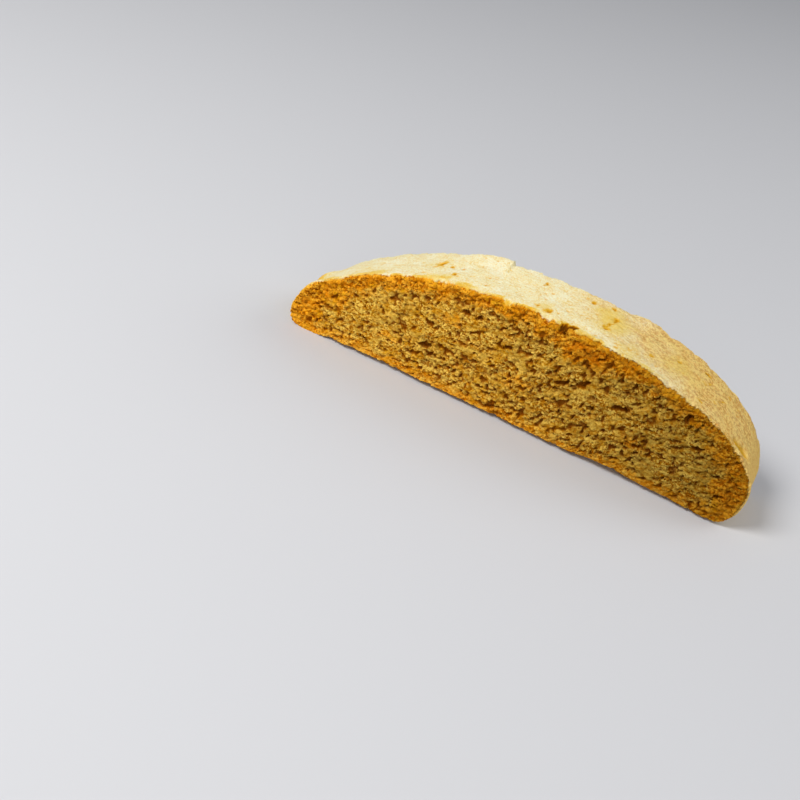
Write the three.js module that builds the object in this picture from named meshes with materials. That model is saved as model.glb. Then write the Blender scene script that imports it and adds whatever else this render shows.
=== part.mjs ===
// A biscotto: one slice of a twice-baked biscuit log, lying on its flat base.
//
// Millimetres. X runs from nose to nose, Y from the front cut face to the back
// one, and Z up from the base. The slice is an arch between two cut faces of
// open crumb, under a thin crust that is blistered, cracked and pitted. The
// two faces are arches of nearly the same size, and the slice is lofted
// between them. The lower front edge stands a little over the flat underside.

import * as THREE from 'three';
import { mergeVertices } from 'three/addons/utils/BufferGeometryUtils.js';

// ---------------------------------------------------------------------------
// Driving dimensions
// ---------------------------------------------------------------------------

const THICKNESS = 20.5;

// Each half of an arch reaches its nose at the height `widest`. Above that it
// is a superellipse up to the crown, below it a quarter ellipse that tucks in
// by `foot` to the base.
const FRONT_ARCH = {
  crown: 31,
  left: { reach: 62.5, widest: 3.5, foot: 5, alongPower: 1.92, upPower: 1.6 },
  right: { reach: 62.5, widest: 8, foot: 5, alongPower: 2.53, upPower: 2.05 },
};
const BACK_ARCH = {
  crown: 32.1,
  left: { reach: 60, widest: 3.5, foot: 4, alongPower: 1.8, upPower: 1.52 },
  right: { reach: 62.9, widest: 5, foot: 4, alongPower: 3.15, upPower: 1.56 },
};

// The arches stand at the height `lift` over the flat underside. Their lowest
// part is let down to it, but the lower front edge stays up: `edge` gives its
// height at places along X. Further in than `edgeDepth` the underside is flat.
const UNDERSIDE = {
  lift: 1.2,
  letDownBelow: 8,
  edgeDepth: 6,
  edge: [
    { x: -54, height: 0 },
    { x: -48, height: 0.9 },
    { x: -42, height: 1.2 },
    { x: 20, height: 1.2 },
    { x: 26, height: 1.8 },
    { x: 31, height: 2.1 },
    { x: 37, height: 1.3 },
    { x: 46, height: 1.2 },
    { x: 52, height: 0.8 },
  ],
};

// Where the crown turns into a nose, as a share of the quarter turn from the
// nose to the crown. The mesh has its corners there.
const NOSE_SHARE = 0.3;

// Cells of the mesh along the length, up the height and through the slice.
const CELLS = { length: 78, height: 18, thickness: 13 };

// Open crumb of the cut faces.
const CRUMB = {
  pits: 170,
  pitLength: [2.6, 5.2],
  pitHeight: [1.6, 2.6],
  pitDepth: [0.5, 1.5],
  layerDrop: 0.55,          // how far the pits' slant follows the arch above
  grain: 4.2,               // size of the soft lumps between the pits
  lump: 0.4,
  rimWidth: 3.2,            // denser baked crumb next to the crust
};

// Larger holes and tears of the front face: place along and up, size and depth.
const FRONT_HOLES = [
  { x: -39.6, z: 4.4, length: 4.4, height: 2.4, depth: 1.5 },
  { x: -23.2, z: 9.3, length: 5.6, height: 3, depth: 2 },
  { x: -13.2, z: 23.2, length: 6, height: 2.6, depth: 1.7 },
  { x: -3.5, z: 19.2, length: 5, height: 2.4, depth: 1.4 },
  { x: 15.5, z: 17.8, length: 9, height: 2.6, depth: 1.9 },
  { x: 27.6, z: 16.7, length: 5.4, height: 2.8, depth: 1.9 },
  { x: 43, z: 22.3, length: 4, height: 2.6, depth: 1.6 },
  { x: 47.7, z: 15.8, length: 4.2, height: 2.6, depth: 1.6 },
  { x: 56.1, z: 6.4, length: 3.8, height: 2.4, depth: 1.4 },
];

// Crust: soft swelling, small craters, bulges, and cracks that run between
// points on the arch, each given by its place along X and across Y.
const CRUST = {
  blister: 9,
  swell: 0.35,
  edgeChip: 1.2,            // how far the crust's broken edge falls back
  edgeChipWidth: 2.4,
};
const CRATERS = [
  { x: -28.2, y: 1.4, radius: 2.2, depth: 0.8 },
  { x: -13.4, y: -5.5, radius: 1.8, depth: 0.6 },
  { x: 1.6, y: -6, radius: 2.4, depth: 0.8 },
  { x: -2.3, y: 6.2, radius: 1.9, depth: 0.6 },
  { x: 10.6, y: 7.1, radius: 1.9, depth: 0.7 },
  { x: 42.3, y: 5.3, radius: 1.8, depth: 0.6 },
  { x: 43.3, y: -6.5, radius: 1.8, depth: 0.6 },
];
const CRACKS = [
  { from: [6, -10.2], to: [11.5, -7.4], width: 1.9, depth: 1.6 },
  { from: [14.5, -3], to: [17.5, 4.6], width: 1.6, depth: 0.7 },
  { from: [54.5, -6.6], to: [57.8, -8.6], width: 1.9, depth: 0.9 },
];
const BULGES = [
  { x: -58.5, y: 1.5, radius: 4.5, lift: 1.3 },
  { x: -57.5, y: -9.5, radius: 6, lift: 0.7 },
  { x: 24.5, y: 10.2, radius: 6, lift: 1 },
];
// A plate of crust that has lifted at the back edge and ends in a step.
const PLATE = { endX: -13, fadeX: 16, edgeY: 10.2, fadeY: 8, lift: 1.2, stepWidth: 1.4 };

const CRUST_COLOR = 0xd9b878;
const SEED = 20261;

// ---------------------------------------------------------------------------
// Seeded randomness
// ---------------------------------------------------------------------------

// A value from 0 to 1 that depends only on the whole numbers it is given.
function hash(i, j, k, seed) {
  let h = seed ^ Math.imul(i, 374761393) ^ Math.imul(j, 668265263) ^ Math.imul(k, 1274126177);
  h = Math.imul(h ^ (h >>> 13), 1274126177);
  h = Math.imul(h ^ (h >>> 16), 2246822519);
  return ((h ^ (h >>> 15)) >>> 0) / 4294967296;
}

// Smooth noise from -1 to 1 with lumps about one unit across.
function noise(x, y, z, seed) {
  const cell = [x, y, z].map(Math.floor);
  const ease = [x, y, z].map((value, axis) => {
    const part = value - cell[axis];
    return part * part * (3 - 2 * part);
  });
  let sum = 0;
  for (let corner = 0; corner < 8; corner += 1) {
    const step = [corner & 1, (corner >> 1) & 1, corner >> 2];
    let weight = 1;
    for (let axis = 0; axis < 3; axis += 1) {
      weight *= step[axis] ? ease[axis] : 1 - ease[axis];
    }
    sum += weight * hash(cell[0] + step[0], cell[1] + step[1], cell[2] + step[2], seed);
  }
  return 2 * sum - 1;
}

function smoothstep(low, high, value) {
  return THREE.MathUtils.smoothstep(value, low, high);
}

// ---------------------------------------------------------------------------
// The arch
// ---------------------------------------------------------------------------

// A point of the half arch: turn 0 is the nose, 1 the crown and -1 the base.
function halfArchPoint(half, side, crown, turn) {
  if (turn < 0) {
    const angle = -turn * Math.PI / 2;
    const x = half.reach - half.foot * (1 - Math.cos(angle));
    return new THREE.Vector2(side * x, half.widest * (1 - Math.sin(angle)));
  }
  const angle = turn * Math.PI / 2;
  const along = Math.max(Math.cos(angle), 0) ** (2 / half.alongPower);
  const up = Math.sin(angle) ** (2 / half.upPower);
  return new THREE.Vector2(side * half.reach * along, half.widest + (crown - half.widest) * up);
}

function evenlySpaced(points, count) {
  const curve = new THREE.CurvePath();
  for (let i = 1; i < points.length; i += 1) {
    curve.add(new THREE.LineCurve(points[i - 1], points[i]));
  }
  return Array.from({ length: count + 1 }, (_, i) => curve.getPoint(i / count));
}

// The four edges of an arch between its corners, each cut into equal steps.
function archEdges(arch) {
  const fine = 60;
  const steps = Array.from({ length: fine + 1 }, (_, i) => i / fine);
  const nose = (half, side) => steps.map((share) => (
    halfArchPoint(half, side, arch.crown, -1 + share * (1 + NOSE_SHARE))));
  const slope = (half, side) => steps.map((share) => (
    halfArchPoint(half, side, arch.crown, NOSE_SHARE + share * (1 - NOSE_SHARE))));
  const leftNose = nose(arch.left, -1);
  const rightNose = nose(arch.right, 1);
  return {
    left: evenlySpaced(leftNose, CELLS.height),
    right: evenlySpaced(rightNose, CELLS.height),
    base: evenlySpaced([leftNose[0], rightNose[0]], CELLS.length),
    top: evenlySpaced(
      [...slope(arch.left, -1), ...slope(arch.right, 1).reverse().slice(1)], CELLS.length),
  };
}

// Fills the arch between its four edges (a Coons patch).
function archPoint(edges, column, row) {
  const s = column / CELLS.length;
  const t = row / CELLS.height;
  const acrossRows = edges.base[column].clone().multiplyScalar(1 - t)
    .addScaledVector(edges.top[column], t);
  const acrossColumns = edges.left[row].clone().multiplyScalar(1 - s)
    .addScaledVector(edges.right[row], s);
  const corners = edges.base[0].clone().multiplyScalar((1 - s) * (1 - t))
    .addScaledVector(edges.base[CELLS.length], s * (1 - t))
    .addScaledVector(edges.top[0], (1 - s) * t)
    .addScaledVector(edges.top[CELLS.length], s * t);
  return acrossRows.add(acrossColumns).sub(corners);
}

// Height of the front arch above a place along X, for what follows its curve.
function crownAbove(x) {
  const half = x < 0 ? FRONT_ARCH.left : FRONT_ARCH.right;
  const share = Math.min(Math.abs(x) / half.reach, 1);
  const up = (1 - share ** half.alongPower) ** (1 / half.upPower);
  return half.widest + (FRONT_ARCH.crown - half.widest) * up;
}

// ---------------------------------------------------------------------------
// Relief
// ---------------------------------------------------------------------------

function between([low, high], share) {
  return low + (high - low) * share;
}

// Small pits strewn over a cut face, with the face's own larger holes.
function strewPits(seed, ownHoles) {
  const pits = ownHoles.map((hole) => ({ ...hole, slant: 0 }));
  for (let i = 0; i < CRUMB.pits; i += 1) {
    const x = THREE.MathUtils.lerp(-60, 60, hash(i, 1, 0, seed));
    const share = hash(i, 2, 0, seed);
    const above = crownAbove(x);
    const rise = (crownAbove(x + 1) - crownAbove(x - 1)) / 2;
    const size = hash(i, 3, 0, seed) ** 2;
    pits.push({
      x,
      z: share * above,
      length: between(CRUMB.pitLength, size),
      height: between(CRUMB.pitHeight, size),
      depth: between(CRUMB.pitDepth, size),
      slant: THREE.MathUtils.clamp(rise, -1, 1) * share * CRUMB.layerDrop,
    });
  }
  return pits;
}

// Depth of the crumb below its cut plane.
function crumbDepth(pits, x, z, seed) {
  let depth = 0;
  for (const pit of pits) {
    const along = (x - pit.x) / (pit.length / 2);
    const up = (z - pit.z - pit.slant * (x - pit.x)) / (pit.height / 2);
    const outside = along * along + up * up;
    if (outside < 1) {
      depth = Math.max(depth, pit.depth * (1 - outside));
    }
  }
  const lumps = noise(x / CRUMB.grain, 0, z / (CRUMB.grain * 0.6), seed);
  const underCrust = crownAbove(x) - z;
  const dense = smoothstep(0, CRUMB.rimWidth, underCrust) * smoothstep(0, CRUMB.rimWidth, z);
  return (depth + CRUMB.lump * (1 + lumps)) * THREE.MathUtils.lerp(0.35, 1, dense);
}

function distanceToCrack(crack, x, y) {
  const start = new THREE.Vector2(...crack.from);
  const end = new THREE.Vector2(...crack.to);
  const run = end.clone().sub(start);
  const share = new THREE.Vector2(x, y).sub(start).dot(run) / run.lengthSq();
  const nearest = start.addScaledVector(run, THREE.MathUtils.clamp(share, 0, 1));
  return nearest.distanceTo(new THREE.Vector2(x, y));
}

// Height of the crust above the smooth arch.
function crustRise(x, y) {
  let rise = CRUST.swell * noise(x / CRUST.blister, y / CRUST.blister, 0, SEED + 3);
  for (const crater of CRATERS) {
    const outside = Math.hypot(x - crater.x, y - crater.y) / crater.radius;
    rise -= crater.depth * (1 - smoothstep(0.2, 1, outside));
  }
  for (const bulge of BULGES) {
    const outside = Math.hypot(x - bulge.x, y - bulge.y) / bulge.radius;
    rise += bulge.lift * (1 - smoothstep(0, 1, outside));
  }
  for (const crack of CRACKS) {
    rise -= crack.depth * (1 - smoothstep(0.2, 1, distanceToCrack(crack, x, y) / crack.width));
  }
  const plateEnd = 1 - smoothstep(PLATE.endX, PLATE.endX + PLATE.stepWidth, x);
  const plateStart = smoothstep(PLATE.endX - PLATE.fadeX, PLATE.endX, x);
  const plateSide = smoothstep(PLATE.edgeY - PLATE.fadeY, PLATE.edgeY, y);
  return rise + PLATE.lift * plateEnd * plateStart * plateSide;
}

// How far the broken edge of the crust falls back at a cut face.
function edgeChip(x, z, fromEdge, seed) {
  const ragged = 0.5 + 0.5 * noise(x / 3, z / 3, 0, seed);
  return CRUST.edgeChip * ragged * ragged * (1 - smoothstep(0, CRUST.edgeChipWidth, fromEdge));
}

// ---------------------------------------------------------------------------
// The slice
// ---------------------------------------------------------------------------

// Height of the lower front edge over the underside.
function frontEdgeHeight(x) {
  const { edge } = UNDERSIDE;
  if (x <= edge[0].x) {
    return edge[0].height;
  }
  for (let i = 1; i < edge.length; i += 1) {
    if (x < edge[i].x) {
      const share = (x - edge[i - 1].x) / (edge[i].x - edge[i - 1].x);
      return THREE.MathUtils.lerp(edge[i - 1].height, edge[i].height, share);
    }
  }
  return edge[edge.length - 1].height;
}

// Height over the underside of a point of the arches, which start out level.
function letDown(x, y, z) {
  const behind = smoothstep(0, UNDERSIDE.edgeDepth, y + THICKNESS / 2);
  const lowest = frontEdgeHeight(x) * (1 - behind);
  return z + UNDERSIDE.lift + (lowest - UNDERSIDE.lift) * (1 - smoothstep(0, UNDERSIDE.letDownBelow, z));
}

function sliceGeometry() {
  const front = archEdges(FRONT_ARCH);
  const back = archEdges(BACK_ARCH);
  const frontPits = strewPits(SEED, FRONT_HOLES);
  const backPits = strewPits(SEED + 1, []);
  const box = new THREE.BoxGeometry(1, 1, 1, CELLS.length, CELLS.thickness, CELLS.height);
  box.deleteAttribute('normal');
  box.deleteAttribute('uv');
  const geometry = mergeVertices(box, 1e-4);
  const position = geometry.getAttribute('position');

  for (let i = 0; i < position.count; i += 1) {
    const column = Math.round((position.getX(i) + 0.5) * CELLS.length);
    const layer = Math.round((position.getY(i) + 0.5) * CELLS.thickness);
    const row = Math.round((position.getZ(i) + 0.5) * CELLS.height);
    const through = layer / CELLS.thickness;

    const flat = archPoint(front, column, row).lerp(archPoint(back, column, row), through);
    const cutAt = (through - 0.5) * THICKNESS;
    let y = cutAt;
    let { x, y: z } = flat;

    // The crust moves along the arch's own outward direction.
    const onCrust = row === CELLS.height || column === 0 || column === CELLS.length;
    if (onCrust) {
      const outward = outwardFrom(front, column, row);
      const fromEdge = Math.min(y + THICKNESS / 2, THICKNESS / 2 - y);
      const offset = crustRise(x, y) - edgeChip(x, z, fromEdge, SEED + 5);
      const lift = offset * smoothstep(0, 5, z);
      x += outward.x * lift;
      z += outward.y * lift;
    }
    // The cut faces sink into the slice, less so where they meet the crust.
    const nearEdge = onCrust || row === 0 ? 0.5 : 1;
    if (layer === 0) {
      y += nearEdge * crumbDepth(frontPits, flat.x, flat.y, SEED + 7);
    }
    if (layer === CELLS.thickness) {
      y -= nearEdge * crumbDepth(backPits, flat.x, flat.y, SEED + 9);
    }
    position.setXYZ(i, x, y, letDown(x, cutAt, row === 0 ? 0 : z));
  }
  return geometry;
}

// Outward direction of the arch at one of its edge points.
function outwardFrom(edges, column, row) {
  const last = { column: CELLS.length, row: CELLS.height };
  let before;
  let after;
  if (column === 0 && row < last.row) {
    before = edges.left[Math.max(row - 1, 0)];
    after = edges.left[row + 1];
  } else if (column === last.column && row < last.row) {
    before = edges.right[row + 1];
    after = edges.right[Math.max(row - 1, 0)];
  } else {
    before = edges.top[Math.max(column - 1, 0)];
    after = edges.top[Math.min(column + 1, last.column)];
  }
  const run = after.clone().sub(before).normalize();
  return new THREE.Vector2(-run.y, run.x);
}

// Stands the slice on the floor with its box centred over the origin.
function centreOnFloor(geometry) {
  geometry.computeBoundingBox();
  const centre = geometry.boundingBox.getCenter(new THREE.Vector3());
  geometry.translate(-centre.x, -centre.y, -geometry.boundingBox.min.z);
  geometry.computeVertexNormals();
  return geometry;
}

const biscotto = new THREE.Mesh(
  centreOnFloor(sliceGeometry()),
  new THREE.MeshStandardMaterial({ color: CRUST_COLOR, roughness: 0.85, metalness: 0 }),
);
biscotto.name = 'biscotto';

const part = new THREE.Group();
part.add(biscotto);

export default part;
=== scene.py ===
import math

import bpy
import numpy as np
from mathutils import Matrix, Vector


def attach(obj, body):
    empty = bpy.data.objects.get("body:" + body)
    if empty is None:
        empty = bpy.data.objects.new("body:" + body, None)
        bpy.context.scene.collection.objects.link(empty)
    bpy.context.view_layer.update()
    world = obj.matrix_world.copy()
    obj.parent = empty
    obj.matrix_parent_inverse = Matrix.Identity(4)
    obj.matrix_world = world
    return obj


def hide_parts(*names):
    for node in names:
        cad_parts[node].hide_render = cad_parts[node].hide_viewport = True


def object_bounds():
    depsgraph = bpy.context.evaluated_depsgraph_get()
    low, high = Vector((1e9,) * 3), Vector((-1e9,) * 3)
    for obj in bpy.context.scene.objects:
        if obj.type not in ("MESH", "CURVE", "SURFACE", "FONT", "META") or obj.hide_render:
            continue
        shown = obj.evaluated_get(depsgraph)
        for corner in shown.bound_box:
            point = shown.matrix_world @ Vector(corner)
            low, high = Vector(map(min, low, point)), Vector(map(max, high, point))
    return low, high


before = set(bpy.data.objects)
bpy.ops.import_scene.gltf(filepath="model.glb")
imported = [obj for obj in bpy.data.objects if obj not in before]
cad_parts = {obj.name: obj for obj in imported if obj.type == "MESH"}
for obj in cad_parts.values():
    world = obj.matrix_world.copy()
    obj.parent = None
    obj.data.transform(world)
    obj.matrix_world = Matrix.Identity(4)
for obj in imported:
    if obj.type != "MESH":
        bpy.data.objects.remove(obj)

# A biscotto: one arched slice of a twice-baked biscuit log on a pale floor.
# Sizes are millimetres until a mesh is made, which is in metres as the frame
# is. Places in a material, the floor and the lights are in metres too. X runs
# from nose to nose, -Y is the front cut face, Z is up.

CAD_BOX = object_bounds()
MM = 0.001

# ----- Driving dimensions of the slice -----

THICKNESS = 20.5

# Each half of an arch reaches its nose at the height "widest". Above that it
# is a superellipse up to the crown, below it a quarter ellipse that tucks in
# by "foot" to the base.
FRONT_ARCH = {
    "crown": 31.0,
    "left": {"reach": 62.5, "widest": 3.5, "foot": 5.0, "along_power": 1.92, "up_power": 1.6},
    "right": {"reach": 62.5, "widest": 8.0, "foot": 5.0, "along_power": 2.53, "up_power": 2.05},
}
BACK_ARCH = {
    "crown": 32.1,
    "left": {"reach": 60.0, "widest": 3.5, "foot": 4.0, "along_power": 1.8, "up_power": 1.52},
    "right": {"reach": 62.9, "widest": 5.0, "foot": 4.0, "along_power": 3.15, "up_power": 1.56},
}
NOSE_SHARE = 0.3            # where crown turns into nose, as a share of the quarter turn

# The arches stand this high over the underside. Their lowest part is let down to
# it, but the lower front edge stays up by its own height, by place along X.
LIFT = 1.2
LET_DOWN_BELOW = 8.0
LOWER_EDGE_AT = ([-62, -54, -48, -42, 20, 26, 31, 37, 46, 52, 60],
                 [0.0, 0.0, 0.9, 1.2, 1.2, 1.8, 2.1, 1.3, 1.2, 0.8, 0.8])
LOWER_EDGE_DEPTH = 6.0      # the underside is flat from this far behind the front face

# Cells of the mesh along the length, up the height and through the slice. The
# layers next to the cut faces are thinner than those in the middle. The
# underside has points on a few of the layers only.
COLUMNS = 400
ROWS = 84
FRONT_LAYERS = 12
MIDDLE_LAYERS = 36
BACK_LAYERS = 5
EDGE_LAYER = 0.33
BASE_LAYERS = (0, 4, 8, 12, 17, FRONT_LAYERS + MIDDLE_LAYERS + BACK_LAYERS)

# Texels a millimetre of each side of the slice in the square it is baked to.
CHART_SCALES = {"front": 7.6, "back": 7.6, "crust left": 9.6, "crust right": 9.6, "base": 4.8}
CHART_GAP = 8
BAKE_SIDE = 1024

# At the very edge of a cut face the crumb has this share of its relief, and all
# of it from this far inside.
RIM_RELIEF = 0.75
RIM_RELIEF_WIDTH = 1.2
SHARP_ANGLE = math.radians(58)      # edges of the relief steeper than this stay crisp
SEED = 20261


# ----- Seeded randomness and helpers -----

# The numbers added to SEED, and a bare number as the third place of a noise,
# only keep one noise apart from another.

def lattice(i, j, k, seed):
    """A value from 0 to 1 for each set of whole numbers, the same every run."""
    h = (i.astype(np.int64) * 374761393 + j.astype(np.int64) * 668265263
         + k.astype(np.int64) * 1274126177 + seed * 144665) & 0xFFFFFFFF
    h = ((h ^ (h >> 13)) * 1274126177) & 0xFFFFFFFF
    h = ((h ^ (h >> 16)) * 2246822519) & 0xFFFFFFFF
    return (h ^ (h >> 15)) / 4294967296.0


def noise(x, y, z, seed):
    """Smooth noise from -1 to 1 with lumps about one unit across."""
    point = np.broadcast_arrays(x, y, z)
    cell = [np.floor(p).astype(np.int64) for p in point]
    ease = [(p - c) ** 2 * (3 - 2 * (p - c)) for p, c in zip(point, cell)]
    total = np.zeros(np.shape(point[0]))
    for corner in range(8):
        step = [corner & 1, (corner >> 1) & 1, corner >> 2]
        weight = 1.0
        for axis in range(3):
            weight = weight * (ease[axis] if step[axis] else 1 - ease[axis])
        total += weight * lattice(*[cell[axis] + step[axis] for axis in range(3)], seed)
    return 2 * total - 1


def layered_noise(x, y, z, seed, octaves=3):
    """Noise with finer and weaker layers on top of it."""
    total = 0.0
    for octave in range(octaves):
        scale = 2 ** octave
        total = total + noise(x * scale, y * scale, z * scale, seed + octave) / scale
    return total


def cells(u, v, seed):
    """Distances to the nearest and second nearest scattered point, and the nearest one's tone."""
    cell_u, cell_v = np.floor(u), np.floor(v)
    nearest = second = np.full(np.shape(u), 9.0)
    tone = zero = np.zeros(np.shape(u))
    for step_u in (-1, 0, 1):
        for step_v in (-1, 0, 1):
            at_u, at_v = cell_u + step_u, cell_v + step_v
            point_u = at_u + lattice(at_u, at_v, zero, seed)
            point_v = at_v + lattice(at_u, at_v, zero + 1, seed)
            away = np.hypot(u - point_u, v - point_v)
            tone = np.where(away < nearest, lattice(at_u, at_v, zero + 2, seed), tone)
            second = np.minimum(second, np.maximum(nearest, away))
            nearest = np.minimum(nearest, away)
    return nearest, second, tone


def smoothstep(low, high, value):
    """0 below low, 1 above high and a smooth rise between them."""
    share = np.clip((value - low) / (high - low), 0, 1)
    return share * share * (3 - 2 * share)


def fade(low, high, value):
    """1 below low, 0 above high and a smooth fall between them."""
    return 1 - smoothstep(low, high, value)


def at_least(least, share):
    """A share from 0 to 1, squeezed so that it runs from the least to 1."""
    return least + (1 - least) * share


def table(columns, *rows):
    """A dictionary for each row of values, by the names of the columns."""
    return [dict(zip(columns.split(), row)) for row in rows]


def in_sizes(along, across, relief):
    """Places along and across, counted in the sizes of a kind of relief."""
    return along / relief["along"], across / relief["across"]


# ----- The arch -----

def half_arch(arch, name, turn):
    """Points of a half arch: turn 0 is the nose, 1 the crown and -1 the base."""
    half = arch[name]
    side = -1 if name == "left" else 1
    angle = np.abs(turn) * math.pi / 2
    cosine = np.clip(np.cos(angle), 0, 1)
    sine = np.sin(angle)
    above_x = half["reach"] * cosine ** (2 / half["along_power"])
    above_z = half["widest"] + (arch["crown"] - half["widest"]) * sine ** (2 / half["up_power"])
    below_x = half["reach"] - half["foot"] * (1 - cosine)
    below_z = half["widest"] * (1 - sine)
    x = np.where(turn < 0, below_x, above_x)
    z = np.where(turn < 0, below_z, above_z)
    return np.stack([side * x, z], axis=1)


def evenly_spaced(points, count):
    run = np.linalg.norm(np.diff(points, axis=0), axis=1)
    travelled = np.concatenate([[0], np.cumsum(run)])
    at = np.linspace(0, travelled[-1], count + 1)
    return np.stack([np.interp(at, travelled, points[:, axis]) for axis in (0, 1)], axis=1)


def arch_edges(arch):
    """The four edges of an arch between its corners, each cut into equal steps."""
    up_nose = np.linspace(-1, NOSE_SHARE, 400)
    up_slope = np.linspace(NOSE_SHARE, 1, 800)
    left_nose = half_arch(arch, "left", up_nose)
    right_nose = half_arch(arch, "right", up_nose)
    left_slope = half_arch(arch, "left", up_slope)
    right_slope = half_arch(arch, "right", up_slope)
    return {
        "left": evenly_spaced(left_nose, ROWS),
        "right": evenly_spaced(right_nose, ROWS),
        "base": evenly_spaced(np.array([left_nose[0], right_nose[0]]), COLUMNS),
        "top": evenly_spaced(np.concatenate([left_slope, right_slope[-2::-1]]), COLUMNS),
    }


def arch_patch(edges):
    """Fills the arch between its four edges: a grid of points, column by row."""
    s = np.linspace(0, 1, COLUMNS + 1)[:, None, None]
    t = np.linspace(0, 1, ROWS + 1)[None, :, None]
    base, top = edges["base"][:, None], edges["top"][:, None]
    left, right = edges["left"][None], edges["right"][None]
    corners = (base[:1] * (1 - s) * (1 - t) + base[-1:] * s * (1 - t)
               + top[:1] * (1 - s) * t + top[-1:] * s * t)
    return base * (1 - t) + top * t + left * (1 - s) + right * s - corners


# ----- The grid that wraps the slice -----

def layer_places():
    """Where each layer lies through the slice, from -half to half its thickness."""
    front = np.arange(FRONT_LAYERS + 1) * EDGE_LAYER
    back = THICKNESS - np.arange(BACK_LAYERS, -1, -1) * EDGE_LAYER
    middle = np.linspace(front[-1], back[0], MIDDLE_LAYERS + 1)
    return np.concatenate([front, middle[1:-1], back]) - THICKNESS / 2


def underside_strips(number):
    """The underside: strips of long faces, each with a many-sided face at its ends."""
    strips = []
    for near, far in zip(BASE_LAYERS[:-1], BASE_LAYERS[1:]):
        front, back = number[:, near, 0], number[:, far, 0]
        strips += np.stack([front[1:-2], back[1:-2], back[2:-1], front[2:-1]], axis=1).tolist()
        strips.append([front[1], *number[0, near:far + 1, 0].tolist(), back[1]])
        strips.append([back[-2], *number[-1, near:far + 1, 0][::-1].tolist(), front[-2]])
    return strips


def shell_grid(layers):
    """Whole-number places of the slice's surface points, its faces and each face's side."""
    size = (COLUMNS + 1, layers, ROWS + 1)
    on_surface = np.zeros(size, bool)
    on_surface[:, [0, -1]] = True
    on_surface[[0, -1]] = True
    on_surface[:, :, -1] = True
    on_surface[:, BASE_LAYERS, 0] = True
    places = np.argwhere(on_surface)
    number = np.full(size, -1)
    number[on_surface] = np.arange(len(places))
    half = COLUMNS // 2
    sides = (("front", number[:, 0, :], False), ("back", number[:, -1, :], True),
             ("crust left", number[0], True), ("crust left", number[:half + 1, :, -1], False),
             ("crust right", number[half:, :, -1], False), ("crust right", number[-1], False))
    faces, side_of = [], []
    for name, side, turned in sides:
        quad = np.stack([side[:-1, :-1], side[1:, :-1], side[1:, 1:], side[:-1, 1:]], axis=2)
        quad = quad.reshape(-1, 4)
        faces.extend((quad[:, ::-1] if turned else quad).tolist())
        side_of.extend([name] * len(quad))
    strips = underside_strips(number)
    return places, faces + strips, np.array(side_of + ["base"] * len(strips))


def crust_line(edges):
    """The line of the crust: up the left nose, over the top and down the right nose."""
    return np.concatenate([edges["left"][:-1], edges["top"], edges["right"][-2::-1]])


def edges_along(line, base):
    """The four edges of a cut face whose crust follows the given line."""
    return {
        "left": line[:ROWS + 1],
        "top": line[ROWS:ROWS + COLUMNS + 1],
        "right": line[ROWS + COLUMNS:][::-1],
        "base": base,
    }


def outward(loop):
    """Outward directions along the crust's line, and how far along it each point is."""
    run = np.gradient(loop, axis=0)
    run /= np.linalg.norm(run, axis=1, keepdims=True)
    travelled = np.concatenate([[0], np.cumsum(np.linalg.norm(np.diff(loop, axis=0), axis=1))])
    return np.stack([-run[:, 1], run[:, 0]], axis=1), travelled


def loop_place(column, row):
    """Where a point of the crust lies on the loop over the arch."""
    down_right = ROWS + COLUMNS + (ROWS - row)
    past_left = np.where(column == COLUMNS, down_right, ROWS + column)
    return np.where(column == 0, row, past_left)


# ----- Crumb -----

# The crumb's holes lie along layers of the dough: nearly level at the left
# nose, rising to the right in the middle and less so at the right nose.
LAYER_SLOPE_AT = ([-62, -20, 12, 40, 62], [0.02, 0.14, 0.36, 0.28, 0.16])

# Wide and fine waves in those layers: their size along and across, how far they
# push a point along and up, and the third place of the noise for each push.
WAVES = (
    {"along": 2.6, "across": 2.0, "push": (0.55, 0.40), "third": (11.0, 17.0)},
    {"along": 0.8, "across": 0.7, "push": (0.22, 0.15), "third": (13.0, 19.0)},
)

# Relief of the crumb: size along and across the layers, and depth. A pore opens
# where its noise passes "opens_at", in open crumb "sooner" than that, and is at
# its full depth "slope" later.
GRANULE = {"along": 1.2, "across": 1.0, "depth": 0.55}
LUMP_TONE = {"along": 2.6, "across": 2.0}
CLUMP = {"along": 3.0, "across": 2.0, "depth": 0.36}
FURROW = {"along": 2.6, "across": 1.5, "depth": 0.30}
SWELL = {"along": 9.0, "across": 5.0, "depth": 0.28}
PORE = {"along": 1.8, "across": 1.0, "depth": 0.75, "opens_at": 0.84, "sooner": 0.26, "slope": 0.35}
PINHOLE = {"along": 1.0, "across": 0.8, "depth": 0.8, "least": 0.4}

# Sizes of the patches of crumblier and of more open crumb.
CRUMBLY_PATCH = {"along": 11, "across": 8}
OPEN_PATCH = {"along": 13, "across": 9}
SMOOTH_CRUMB = 0.6          # share of the granules' relief where the crumb is smoothest
# Under the crust the crumb is crumbly, and dense with this share of its holes:
# wholly up to the first distance from the crust and no more from the second.
CRUMBLY_RIM = (2.0, 8.0)
DENSE_RIM = (0.5, 4.5)
DENSE_SHARE = 0.35
# The crumb just above the base has baked to a strip with this share of relief.
BASE_STRIP = (0.1, 1.6)
STRIP_SHARE = 0.7

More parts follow.
